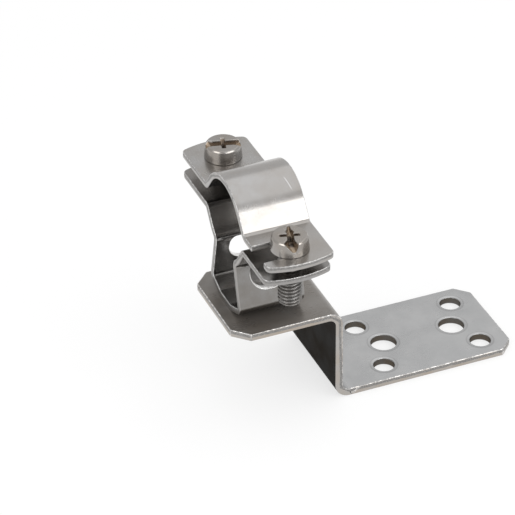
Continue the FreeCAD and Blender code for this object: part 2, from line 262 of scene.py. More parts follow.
@dataclass(frozen=True)
class SteelFinish:
    """Satin stainless steel: cloudy mill finish, fine grain and a few scuffs."""

    name: str
    level: float
    warmth: float
    roughness: float
    grain: Axis
    cloud: float
    scuffs: float = 0.5
    edge_tint: float = 1.0
    wave: float = 0.25

    CLOUDED = (0.35, 0.65)
    BLOTCHED = (0.52, 0.75)
    BLOTCH_SHARE = 0.6
    HAZED = (0.3, 0.7)
    HAZE = (0.86, 1.16)
    STREAK = 0.14
    SCUFFED = (0.60, 0.72)
    GRAIN_SHARE = 0.35
    SPECKLE_SHARE = 0.5
    BUMP = 0.12
    BUMP_HEIGHT = 0.04 * MM
    WAVE_HEIGHT = 0.25 * MM

    def make(self) -> bpy.types.Material:
        """Build the material.

        Returns:
            The finished material.
        """
        material = bpy.data.materials.new(self.name)
        material.use_nodes = True
        trees = Trees(material.node_tree)
        shader = trees.add("ShaderNodeBsdfPrincipled")
        trees.join(shader.outputs[0], trees.add("ShaderNodeOutputMaterial").inputs[0])
        shader.inputs["Metallic"].default_value = 1.0
        shader.inputs["Specular Tint"].default_value = grey(self.edge_tint)
        place = trees.add("ShaderNodeTexCoord").outputs["Object"]
        along = trees.stretch(place, self.grain.value)
        grain = trees.noise(along, Pattern.GRAIN)
        trees.join(self.marked(trees, place, self.tone(trees, place)), shader.inputs["Base Color"])
        trees.join(self.satin(trees, place, grain), shader.inputs["Roughness"])
        self.cover(trees, place, shader)
        trees.join(self.relief(trees, place, along, grain), shader.inputs["Normal"])
        return material

    def tone(self, trees: Trees, place: Socket) -> Socket:
        """The cloudy colour of the bare metal.

        Args:
            trees: The material's nodes.
            place: The place on the piece.

        Returns:
            The colour's socket.
        """
        dark = grey(self.level * (1 - self.cloud), self.warmth * 1.6)
        light = grey(self.level * (1 + self.cloud), self.warmth * 0.4)
        patch = grey(self.level * (1 - 1.6 * self.cloud), self.warmth * 2.5)
        clouds = trees.remap(trees.noise(place, Pattern.CLOUDS), self.CLOUDED)
        blotches = trees.remap(trees.noise(place, Pattern.BLOTCHES), self.BLOTCHED,
                               (0.0, self.BLOTCH_SHARE))
        return trees.blend(blotches, trees.blend(clouds, dark, light), patch)

    def marked(self, trees: Trees, place: Socket, tone: Socket) -> Socket:
        """The colour with what lies on the metal; nothing on a plain face."""
        return tone

    def satin(self, trees: Trees, place: Socket, grain: Socket) -> Socket:
        """The roughness, with its clouds and rolling streaks.

        Args:
            trees: The material's nodes.
            place: The place on the piece.
            grain: The grain's noise.

        Returns:
            The roughness's socket.
        """
        low, high = (self.roughness * share for share in self.HAZE)
        rough = trees.remap(trees.noise(place, Pattern.HAZE), self.HAZED, (low, high))
        streak = trees.maths("MULTIPLY", trees.maths("SUBTRACT", grain, 0.5), self.STREAK)
        return trees.maths("ADD", rough, streak, clamp=True)

    def cover(self, trees: Trees, place: Socket, shader: bpy.types.Node) -> None:
        """What dulls the metal; nothing on a plain face."""

    def relief(self, trees: Trees, place: Socket, along: Socket, grain: Socket) -> Socket:
        """The fine relief: grain, speckle, scuffs and a faint waviness of the sheet.

        Args:
            trees: The material's nodes.
            place: The place on the piece.
            along: The place, stretched along the grain.
            grain: The grain's noise.

        Returns:
            The normal's socket.
        """
        speckle = trees.noise(place, Pattern.SPECKLE)
        scuff = trees.remap(trees.noise(along, Pattern.SCUFFS), self.SCUFFED, (0.0, self.scuffs))
        height = trees.maths("ADD", trees.maths("MULTIPLY", grain, self.GRAIN_SHARE),
                             trees.maths("MULTIPLY", speckle, self.SPECKLE_SHARE))
        height = trees.maths("SUBTRACT", height, scuff)
        wave = trees.bump(trees.noise(place, Pattern.WAVES), self.wave, self.WAVE_HEIGHT)
        return trees.bump(height, self.BUMP, self.BUMP_HEIGHT, wave)


@dataclass(frozen=True)
class RaisedPlateFinish(SteelFinish):
    """The bracket's face, drawn down round its holes: painted shade, browner and darker, on its raised
    plate and in a ring round each hole.
    """

    holes: tuple[Triple, ...] = (
        (-13.75, -9.0, 2.75), (-13.75, 9.0, 2.75), (13.75, -9.0, 2.75), (13.75, 9.0, 2.75),
        (-9.75, 0.0, 3.4), (9.75, 0.0, 3.4))
    drawn_reach: Pair = (0.15, 0.85)
    drawn_depth: float = 0.11 * MM
    # Painted shade: a faint darker ring round each hole, at its drawn-down rim.
    ring_shade_starts: Pair = (0.62, 0.80)
    ring_shade_ends: Pair = (0.80, 1.10)
    ring_shade_share: float = 0.65
    ring_shade_level: float = 0.68
    # Painted shade: the raised plate coloured browner and darker, more so towards its top.
    painted_shade_level: float = 0.132
    painted_shade_metal: float = 0.42
    painted_shade_height: Pair = (15.0 * MM, 25.5 * MM)
    painted_shade_dark: Pair = (0.84, 0.16)
    painted_shade_light: Pair = (1.24, 0.11)
    painted_shade_stretch: Triple = (0.5, 1.0, 1.0)
    painted_shade_tones: Pair = (0.34, 0.66)
    painted_shade_uneven: Pair = (0.75, 1.0)

    def painted_shade(self, trees: Trees, place: Socket) -> Socket:
        """How strong the painted shade is, which grows with height.

        Args:
            trees: The material's nodes.
            place: The place on the piece.

        Returns:
            The painted shade's share.
        """
        height = trees.remap(trees.split(place)["Z"], self.painted_shade_height)
        uneven = trees.remap(trees.noise(place, Pattern.PAINTED_SHADE), self.HAZED, self.painted_shade_uneven)
        return trees.maths("MULTIPLY", height, uneven)

    def from_holes(self, trees: Trees, place: Socket) -> Socket:
        """How far a place is from the nearest hole.

        Args:
            trees: The material's nodes.
            place: The place on the piece.

        Returns:
            The distance from the hole's edge, in millimetres.
        """
        flat = trees.add("ShaderNodeVectorMath", operation="MULTIPLY")
        trees.join(place, flat.inputs[0])
        flat.inputs[1].default_value = (1 / MM, 1 / MM, 0.0)
        nearest = None
        for x, y, radius in self.holes:
            away = trees.add("ShaderNodeVectorMath", operation="DISTANCE")
            trees.join(flat.outputs[0], away.inputs[0])
            away.inputs[1].default_value = (x, y, 0.0)
            edge = trees.maths("SUBTRACT", away.outputs["Value"], radius)
            nearest = edge if nearest is None else trees.maths("MINIMUM", nearest, edge)
        return nearest

    def marked(self, trees: Trees, place: Socket, tone: Socket) -> Socket:
        """The colour under a brownish painted shade, with a faint ring of painted shade round each
        hole.

        Args:
            trees: The material's nodes.
            place: The place on the piece.
            tone: The bare metal's colour.

        Returns:
            The colour's socket.
        """
        away = self.from_holes(trees, place)
        # Painted shade: the darker ring round each hole.
        ring = trees.maths("MULTIPLY", trees.remap(away, self.ring_shade_starts),
                           trees.remap(away, self.ring_shade_ends, (self.ring_shade_share, 0.0)))
        tone = trees.blend(ring, tone, grey(self.level * self.ring_shade_level))
        # Painted shade: browner and darker across the raised plate.
        shades = trees.noise(trees.stretch(place, self.painted_shade_stretch), Pattern.PAINTED_SHADE_TONES)
        dark, light = (grey(self.painted_shade_level * share, warmth)
                       for share, warmth in (self.painted_shade_dark, self.painted_shade_light))
        painted_shade = trees.blend(trees.remap(shades, self.painted_shade_tones), dark, light)
        return trees.blend(self.painted_shade(trees, place), tone, painted_shade)

    def cover(self, trees: Trees, place: Socket, shader: bpy.types.Node) -> None:
        """The painted shade also dulls the metal."""
        dulled = trees.remap(self.painted_shade(trees, place), (0.0, 1.0), (1.0, self.painted_shade_metal))
        trees.join(dulled, shader.inputs["Metallic"])

    def relief(self, trees: Trees, place: Socket, along: Socket, grain: Socket) -> Socket:
        """The fine relief, with the sheet drawn down a little round each hole."""
        rise = trees.remap(self.from_holes(trees, place), self.drawn_reach)
        return trees.bump(rise, 1.0, self.drawn_depth, super().relief(trees, place, along, grain))


@dataclass(frozen=True)
class ShearedFinish(SteelFinish):
    """A sheared edge: a torn speckled band and a smooth burnished band."""

    torn_level: float = 0.25
    torn_starts: Pair = (0.10, 0.16)
    torn_ends: Pair = (0.46, 0.56)
    torn_rough: float = 0.25
    wobble: float = 0.35
    spotted: Pair = (0.52, 0.66)
    spot_share: float = 1.4

    def torn(self, trees: Trees, place: Socket) -> Socket:
        """How torn the edge is across its thickness.

        Args:
            trees: The material's nodes.
            place: The place on the piece.

        Returns:
            The torn share, from 0 to 1.
        """
        across = trees.split(trees.add("ShaderNodeUVMap", uv_map=EDGE_MAP).outputs[0])["X"]
        uneven = trees.maths("SUBTRACT", trees.noise(place, Pattern.WOBBLE), 0.5)
        depth = trees.maths("ADD", across, trees.maths("MULTIPLY", uneven, self.wobble))
        return trees.maths("MULTIPLY", trees.remap(depth, self.torn_starts),
                           trees.remap(depth, self.torn_ends, (1.0, 0.0)))

    def marked(self, trees: Trees, place: Socket, tone: Socket) -> Socket:
        """The colour of the torn and the burnished bands.

        Args:
            trees: The material's nodes.
            place: The place on the piece.
            tone: The bare metal's colour.

        Returns:
            The colour's socket.
        """
        spotted = trees.remap(trees.noise(place, Pattern.TORN), self.spotted)
        spots = trees.blend(spotted, grey(self.torn_level, 0.03),
                            grey(self.level * self.spot_share, 0.02))
        return trees.blend(self.torn(trees, place), tone, spots)

    def satin(self, trees: Trees, place: Socket, grain: Socket) -> Socket:
        """The roughness, which is greater where the edge is torn."""
        rougher = trees.maths("MULTIPLY", self.torn(trees, place), self.torn_rough)
        return trees.maths("ADD", super().satin(trees, place, grain), rougher, clamp=True)


@dataclass(frozen=True)
class BurrHighlightFinish(SteelFinish):
    """The thin burr along a sheared edge, coloured bright: a painted highlight on the rounded rim."""

    dull_level: float = 0.36
    broken: Pair = (0.46, 0.56)

    def marked(self, trees: Trees, place: Socket, tone: Socket) -> Socket:
        """The painted highlight's colour, broken up along the edge."""
        broken = trees.remap(trees.noise(place, Pattern.BROKEN), self.broken)
        return trees.blend(broken, grey(self.dull_level, 0.02), tone)


@dataclass(frozen=True)
class ScratchedFinish(SteelFinish):
    """The strap's face, with one thin scratch on its crown."""

    scratch_at: Triple = (-0.03909, -0.00567, 0.0)
    scratch_turn: float = math.radians(-77.7)
    scratch_half: Pair = (1.9 * MM, 0.11 * MM)
    scratch_above: Pair = (60.5 * MM, 61.0 * MM)
    scratch_share: float = 0.8
    scratch_level: float = 0.78
    tip_fade: Pair = (0.6, 1.0)
    side_fade: Pair = (0.4, 1.0)

    def marked(self, trees: Trees, place: Socket, tone: Socket) -> Socket:
        """The colour with the bright scratch.

        Args:
            trees: The material's nodes.
            place: The place on the piece.
            tone: The bare metal's colour.

        Returns:
            The colour's socket.
        """
        centred = trees.add("ShaderNodeMapping", vector_type="TEXTURE")
        centred.inputs["Location"].default_value = self.scratch_at
        centred.inputs["Rotation"].default_value = (0.0, 0.0, self.scratch_turn)
        centred.inputs["Scale"].default_value = (*self.scratch_half, 1.0)
        trees.join(place, centred.inputs["Vector"])
        parts = trees.split(centred.outputs[0])
        along = trees.remap(trees.maths("ABSOLUTE", parts["X"]), self.tip_fade, (1.0, 0.0))
        aside = trees.remap(trees.maths("ABSOLUTE", parts["Y"]), self.side_fade, (1.0, 0.0))
        above = trees.remap(parts["Z"], self.scratch_above, (0.0, self.scratch_share))
        line = trees.maths("MULTIPLY", trees.maths("MULTIPLY", along, aside), above)
        return trees.blend(line, tone, grey(self.scratch_level))


@dataclass(frozen=True)
class RecessFinish(SteelFinish):
    """A screw head's metal, with brown residue down in its recess, and painted light and shade there.
    """

    # Residue with painted light and shade: upward floors lit ochre, walls shaded brown, the bottom near
    # black.
    shaded_wall_colour: Colour = (0.135, 0.092, 0.058, 1.0)
    lit_floor_colour: Colour = (0.36, 0.275, 0.19, 1.0)
    shaded_bottom_colour: Colour = (0.04, 0.026, 0.017, 1.0)
    lit_facing: Pair = (0.35, 0.7)
    residue_reach: Pair = (0.10, 0.30)
    residue_share: float = 0.92
    shaded_bottom_reach: Pair = (0.70, 0.98)
    shaded_bottom_share: float = 0.95
    dull_reach: Pair = (0.14, 0.5)
    dull_metal: float = 0.25
    uneven: float = 0.10

    def depth(self, trees: Trees, place: Socket) -> Socket:
        """How deep a point lies in the recess, a little uneven.

        Args:
            trees: The material's nodes.
            place: The place on the piece.

        Returns:
            The depth, where the recess's bottom has 1.
        """
        depth = trees.add("ShaderNodeAttribute", attribute_name=RECESS_DEPTH).outputs["Fac"]
        residue = trees.noise(place, Pattern.RESIDUE)
        return trees.maths("ADD", depth, trees.remap(residue, self.HAZED, (-self.uneven, self.uneven)))

    def marked(self, trees: Trees, place: Socket, tone: Socket) -> Socket:
        """The colour of the residue, with painted light on upward floors, painted shade on walls and a
        painted shade at the bottom.

        Args:
            trees: The material's nodes.
            place: The place on the piece.
            tone: The bare metal's colour.

        Returns:
            The colour's socket.
        """
        depth = self.depth(trees, place)
        upward = trees.split(trees.add("ShaderNodeTexCoord").outputs["Normal"])["Z"]
        # Painted light: floors that face up are lighter than the walls.
        floor = trees.remap(upward, self.lit_facing)
        residue = trees.blend(floor, self.shaded_wall_colour, self.lit_floor_colour)
        covered = trees.remap(depth, self.residue_reach, (0.0, self.residue_share))
        # Painted shade: darkest at the recess's bottom.
        bottom_shade = trees.remap(depth, self.shaded_bottom_reach, (0.0, self.shaded_bottom_share))
        return trees.blend(bottom_shade, trees.blend(covered, tone, residue), self.shaded_bottom_colour)

    def cover(self, trees: Trees, place: Socket, shader: bpy.types.Node) -> None:
        """The residue is dull: it takes away most of the metal's gloss."""
        dulled = trees.remap(self.depth(trees, place), self.dull_reach, (1.0, self.dull_metal))
        trees.join(dulled, shader.inputs["Metallic"])


class Steel(Enum):
    """The finishes of the holder's pieces: level, warmth, roughness, grain and clouds."""

    # Its raised plate carries painted shade, and each hole a ring of painted shade.
    BRACKET = RaisedPlateFinish("bracket_face", 0.435, -0.004, 0.30, Axis.ALONG_BRACKET, 0.06, 0.25)
    # Painted shade: the bracket's other side, with the web's inner face under the raised plate,
    # coloured nearly black.
    BRACKET_INNER_SHADE = SteelFinish("bracket_inner_painted_shade", 0.075, 0.04, 0.36, Axis.ALONG_BRACKET, 0.10,
                                edge_tint=0.3)
    # Painted shade: the bracket's hole walls, coloured dark brown.
    BRACKET_HOLE_SHADE = SteelFinish("bracket_hole_painted_shade", 0.10, 0.16, 0.38, Axis.ALONG_BRACKET, 0.10,
                               edge_tint=0.5)
    BRACKET_EDGE = ShearedFinish("bracket_edge", 0.41, 0.085, 0.34, Axis.ALONG_BRACKET, 0.05)
    # Painted highlight: the bright rounded rims on the bracket's burred side.
    BRACKET_RIM_HIGHLIGHT = BurrHighlightFinish("bracket_rim_painted_highlight", 0.78, 0.03, 0.28, Axis.ALONG_BRACKET, 0.05)
    # Painted shade: the saddle is the strap's steel, coloured darker than the strap.
    SADDLE_SHADED = SteelFinish("saddle_face_painted_shade", 0.262, 0.035, 0.22, Axis.ALONG_STRIP, 0.13, wave=0.45)
    # Painted highlight: the window edges coloured near white.
    WINDOW_EDGE_HIGHLIGHT = SteelFinish("window_edge_painted_highlight", 0.85, 0.01, 0.30, Axis.ALONG_STRIP, 0.05)
    # Painted shade: the saddle's cut edges, coloured darker than the strap's.
    SADDLE_EDGE_SHADED = ShearedFinish("saddle_edge_painted_shade", 0.34, 0.03, 0.32, Axis.ALONG_STRIP, 0.05)
    STRAP = ScratchedFinish("strap_face", 0.39, 0.032, 0.23, Axis.ALONG_STRIP, 0.07)
    STRAP_EDGE = ShearedFinish("strap_edge", 0.40, 0.03, 0.32, Axis.ALONG_STRIP, 0.05)
    # Painted highlight: the bright rounded rims on the saddle's and strap's burred side.
    STRIP_RIM_HIGHLIGHT = BurrHighlightFinish("strip_rim_painted_highlight", 0.60, 0.015, 0.26, Axis.ALONG_STRIP, 0.05)
    # Its recess carries residue with painted light and shade.
    HEAD = RecessFinish("screw_head", 0.325, 0.055, 0.24, Axis.TURNED, 0.06)
    THREAD = SteelFinish("screw_thread", 0.225, 0.035, 0.26, Axis.TURNED, 0.07)
    RIVET = SteelFinish("rivet_face", 0.42, 0.02, 0.26, Axis.TURNED, 0.06)


class FinishRack:
    """Makes each finish once and hands it out."""

    def __init__(self) -> None:
        """Start with no finish made."""
        self.made: dict[Steel, bpy.types.Material] = {}

    def get(self, steel: Steel) -> bpy.types.Material:
        """The material of a finish, made at its first use.

        Args:
            steel: The finish.

        Returns:
            Its material.
        """
        if steel not in self.made:
            self.made[steel] = steel.value.make()
        return self.made[steel]


def new_object(name: str, mesh: bpy.types.Mesh) -> bpy.types.Object:
    """Put a mesh into the scene.

    Args:
        name: The object's name.
        mesh: Its mesh.

    Returns:
        The new object.
    """
    piece = bpy.data.objects.new(name, mesh)
    bpy.context.scene.collection.objects.link(piece)
    return piece


def finished(piece: bpy.types.Object) -> bpy.types.Object:
    """Apply a piece's modifiers to its mesh.

    Args:
        piece: The object with live modifiers.

    Returns:
        The same object with a plain mesh and no modifiers.
    """
    graph = bpy.context.evaluated_depsgraph_get()
    mesh = bpy.data.meshes.new_from_object(piece.evaluated_get(graph))
    piece.modifiers.clear()
    piece.data = mesh
    return piece


def even_shading(piece: bpy.types.Object) -> None:
    """Shade a piece smooth, with its broad faces kept flat.

    Args:
        piece: The piece, its modifiers applied.
    """
    piece.data.shade_smooth()
    piece.data.set_sharp_from_angle(angle=UNROUNDED_ANGLE)
    weight = piece.modifiers.new("even", "WEIGHTED_NORMAL")
    weight.keep_sharp = True
    finished(piece)


def closed_shape(name: str, verts: list[Triple], faces: list[tuple[int, ...]]) -> bpy.types.Object:
    """A closed shape, such as a tool to cut with.

    Args:
        name: Its name.
        verts: Its corners, in millimetres.
        faces: Its faces, as numbers of corners.

    Returns:
        The shape's object.
    """
    mesh = bpy.data.meshes.new(name)
    mesh.from_pydata([tuple(value * MM for value in vert) for vert in verts], [], faces)
    shape = bmesh.new()
    shape.from_mesh(mesh)
    bmesh.ops.recalc_face_normals(shape, faces=shape.faces)
    shape.to_mesh(mesh)
    shape.free()
    return new_object(name, mesh)


def carve(piece: bpy.types.Object, tool: bpy.types.Object) -> None:
    """Cut a tool's shape out of a piece.

    Args:
        piece: The piece, which keeps the cut.
        tool: The tool, which is thrown away.
    """
    cut = piece.modifiers.new("cut", "BOOLEAN")
    cut.operation = "DIFFERENCE"
    cut.solver = "EXACT"
    cut.object = tool
    finished(piece)
    bpy.data.objects.remove(tool)


class Zone(Enum):
    """The kinds of surface on a pressed piece, in the order of its materials."""

    FACE = 0
    CUT = 1
    RIM = 2
    INNER = 3
    HOLE = 4


@dataclass
class PressedPiece:
    """A piece of sheet whose cut edges are sheared and slightly rounded. Sizes are in millimetres,
    apart from the rounding's radius."""

    node: str
    body: str
    slot: str
    steels: tuple[Steel, ...]
    thickness: float
    burr_at: Triple
    edge_radius: float = 0.20 * MM
    edge_steps: int = 3
    hole_rim: Zone = Zone.FACE
    cut_share: float = 1.3
    look_from: float = 5.0

    @staticmethod
    def probe(solid: bmesh.types.BMesh) -> BVHTree:
        """A tree to cast rays at the solid, in millimetres."""
        corners = [[vert.index for vert in face.verts] for face in solid.faces]
        return BVHTree.FromPolygons([vert.co / MM for vert in solid.verts], corners)

    def zones(self, solid: bmesh.types.BMesh) -> None:
        """Tell the sheet's faces from its cut edges, which have more metal behind them than the sheet
        is thick.

        Args:
            solid: The piece as triangles.
        """
        tree = self.probe(solid)
        for face in solid.faces:
            start = face.calc_center_median() / MM - face.normal * PROBE_STEP
            behind = tree.ray_cast(start, -face.normal)[3]
            cut = behind is None or behind > self.cut_share * self.thickness
            face.material_index = Zone.CUT.value if cut else Zone.FACE.value

    def hole_walls(self, solid: bmesh.types.BMesh) -> None:
        """Tell hole walls from the outer cut edges; in a strip both look alike."""

    def burred_side(self, solid: bmesh.types.BMesh) -> set[bmesh.types.BMFace]:
        """The sheet's faces on the side where the punch left its burr.

        Args:
            solid: The piece with its zones told apart.

        Returns:
            All faces joined to the one just under the marked point.
        """
        above = Vector(self.burr_at) + Vector((0.0, 0.0, self.look_from))
        first = solid.faces[self.probe(solid).ray_cast(above, Vector((0.0, 0.0, -1.0)))[2]]
        found, queue = {first}, [first]
        while queue:
            for edge in queue.pop().edges:
                for other in edge.link_faces:
                    if other not in found and other.material_index == Zone.FACE.value:
                        found.add(other)
                        queue.append(other)
        return found

    def map_edges(self, solid: bmesh.types.BMesh) -> None:
        """Give each cut face a map that runs from its burred side to its burnished side, and tell the
        sheet's two sides apart, so that the bracket's other side can take its painted shade.

        Args:
            solid: The piece with its zones told apart.
        """
        side = self.burred_side(solid)
        layer = solid.loops.layers.uv.new(EDGE_MAP)
        for face in solid.faces:
            if face.material_index != Zone.CUT.value:
                continue
            for loop in face.loops:
                skins = [other for other in loop.vert.link_faces
                         if other.material_index == Zone.FACE.value]
                burred = any(other in side for other in skins)
                loop[layer].uv = (0.0 if burred or not skins else 1.0, 0.5)
        for face in solid.faces:
            if face.material_index == Zone.FACE.value and face not in side:
                face.material_index = Zone.INNER.value

    def marks(self) -> list[bpy.types.Object]:
        """Tools for the marks of wear that the piece has; most have none."""
        return []

    def rounding(self, middle: Vector) -> float:
        """The share of the full rounding that a sharp edge at a place gets."""
        return 1.0

    def weigh_edges(self, piece: bpy.types.Object) -> None:
        """Mark the sharp edges that are to be rounded.

        Args:
            piece: The piece with its marks cut.
        """
        mesh = bmesh.new()
        mesh.from_mesh(piece.data)
        layer = mesh.edges.layers.float.new(EDGE_WEIGHT)
        for edge in mesh.edges:
            if edge.calc_face_angle() > SHARP_ANGLE:
                edge[layer] = self.rounding((edge.verts[0].co + edge.verts[1].co) / (2 * MM))
        mesh.to_mesh(piece.data)
        mesh.free()

    def build(self, nodes: dict[str, bpy.types.Object]) -> bpy.types.Object:
        """Dress the solid's edges.

        Args:
            nodes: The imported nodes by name.

        Returns:
            The new piece, its rims still to be rounded by its modifier.
        """
        solid = bmesh.new()
        solid.from_mesh(nodes[self.node].data)
        bmesh.ops.remove_doubles(solid, verts=solid.verts, dist=MERGE_DISTANCE)
        solid.verts.index_update()
        solid.faces.ensure_lookup_table()
        self.zones(solid)
        self.hole_walls(solid)
        self.map_edges(solid)
        bmesh.ops.dissolve_limit(solid, angle_limit=FLAT_ANGLE, verts=solid.verts,
                                 edges=solid.edges, delimit={"MATERIAL"})
        mesh = bpy.data.meshes.new(f"{self.node}_dressed")
        solid.to_mesh(mesh)
        solid.free()
        piece = new_object(f"{self.node}_dressed", mesh)
        for tool in self.marks():
            carve(piece, tool)
        self.weigh_edges(piece)
        bevel = piece.modifiers.new("rounded", "BEVEL")
        bevel.width = self.edge_radius
        bevel.segments = self.edge_steps
        bevel.limit_method = "WEIGHT"
        bevel.use_clamp_overlap = False
        bevel.material = Zone.RIM.value
        return piece

    def settle_rims(self, piece: bpy.types.Object) -> None:
        """Leave the burr's painted highlight only on the burred side's outer rims.

        Args:
            piece: The piece with its rims rounded.
        """
        mesh = bmesh.new()
        mesh.from_mesh(piece.data)
        for zone, taken in ((Zone.HOLE, self.hole_rim), (Zone.INNER, Zone.CUT)):
            reached = {face for face in mesh.faces if face.material_index == zone.value}
            for _ in range(self.edge_steps):
                reached = {other for face in reached for edge in face.edges for other in edge.link_faces
                           if other.material_index == Zone.RIM.value}
                for face in reached:
                    face.material_index = taken.value
        mesh.to_mesh(piece.data)
        mesh.free()

    def dress(self, piece: bpy.types.Object, rack: FinishRack) -> None:
        """Give a built piece its finishes, smooth its shading and tie it to its body.

        Args:
            piece: The built piece.
            rack: The finishes.
        """
        for steel in self.steels:
            piece.data.materials.append(rack.get(steel))
        finished(piece)
        self.settle_rims(piece)
        even_shading(piece)
        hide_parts(self.node)
        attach(piece, self.body)


@dataclass
class ClampSaddle(PressedPiece):
    """The saddle, with the rounded edges of its two windows painted bright as a highlight."""

    hole_rim: Zone = Zone.HOLE
    middle: float = -45.0
    window_width: float = 10.0
    window_height: Pair = (34.4, 42.2)
    window_margin: float = 0.1
    unrounded_from: float = 39.8
    wall_slant: float = 0.05

    def in_window(self, place: Vector) -> bool:
        """Whether a place is on the edge of a window."""
        low, high = self.window_height
        aside = abs(place.x - self.middle)
        return aside < self.window_width / 2 + self.window_margin and low < place.z < high

    def rounding(self, middle: Vector) -> float:
        """A window's head runs into the bend above it, so its edge stays as it was cut."""
        return 0.0 if self.in_window(middle) and middle.z > self.unrounded_from else 1.0

    def hole_walls(self, solid: bmesh.types.BMesh) -> None:
        """The windows are cut straight through, so their walls lie along Y.

        Args:
            solid: The piece with its zones told apart.
        """
        for face in solid.faces:
            level = abs(face.normal.y) < self.wall_slant
            if level and self.in_window(face.calc_center_median() / MM):
                face.material_index = Zone.HOLE.value


@dataclass
class FixingBracket(PressedPiece):
    """The bracket, with the tool mark and the dent on its lower plate's front edge."""

    front: float = -15.0
    mark_from: Pair = (-24.95, 0.72)
    mark_to: Pair = (-22.5, 2.45)
    mark_width: float = 0.52
    mark_depth: float = 0.3
    dent_at: Pair = (-25.75, 0.75)
    dent_size: float = 0.5
    dent_depth: float = 0.35
    tool_reach: float = 0.5
    widest_hole: float = 8.0

    def hole_walls(self, solid: bmesh.types.BMesh) -> None:
        """A hole's walls are the cut faces that face another one across the hole.

        Args:
            solid: The piece with its zones told apart.
        """
        tree = self.probe(solid)
        for face in solid.faces:
            if face.material_index == Zone.CUT.value:
                start = face.calc_center_median() / MM + face.normal * PROBE_STEP
                across = tree.ray_cast(start, face.normal)[3]
                if across is not None and across < self.widest_hole:
                    face.material_index = Zone.HOLE.value

    def marks(self) -> list[bpy.types.Object]:
        """The tools for the slanting groove across the cut edge and the small dent at its foot.

        Returns:
            The groove's tool and the dent's.
        """
        foot, head = Vector(self.mark_from), Vector(self.mark_to)
        along = (head - foot).normalized()
        aside = Vector((-along.y, along.x)) * self.mark_width / 2
        out, into = self.front - self.tool_reach, self.front + self.mark_depth
        groove = [(p.x, out, p.y) for p in (foot + aside, head + aside, head - aside, foot - aside)]
        groove += [(p.x, into, p.y) for p in (foot, head)]
        groove_faces = [(0, 1, 2, 3), (0, 4, 5, 1), (2, 5, 4, 3), (1, 5, 2), (3, 4, 0)]
        x, z = self.dent_at
        half = self.dent_size / 2
        dent = [(x + dx * half, out, z + dz * half) for dx, dz in ((-1, -1), (1, -1), (1, 1), (-1, 1))]
        dent.append((x, self.front + self.dent_depth, z))
        dent_faces = [(0, 1, 2, 3), (1, 0, 4), (2, 1, 4), (3, 2, 4), (0, 3, 4)]
        return [closed_shape("groove", groove, groove_faces), closed_shape("dent", dent, dent_faces)]


@dataclass
class ThreadSizes:
    """The sizes of a metric thread."""

    radius: float = 2.98 * MM
    pitch: float = 1.0 * MM
    depth: float = 0.56 * MM
    length: float = 15.5 * MM
    tip: float = 0.7 * MM
    around: int = 60
    steps_in_pitch: int = 14


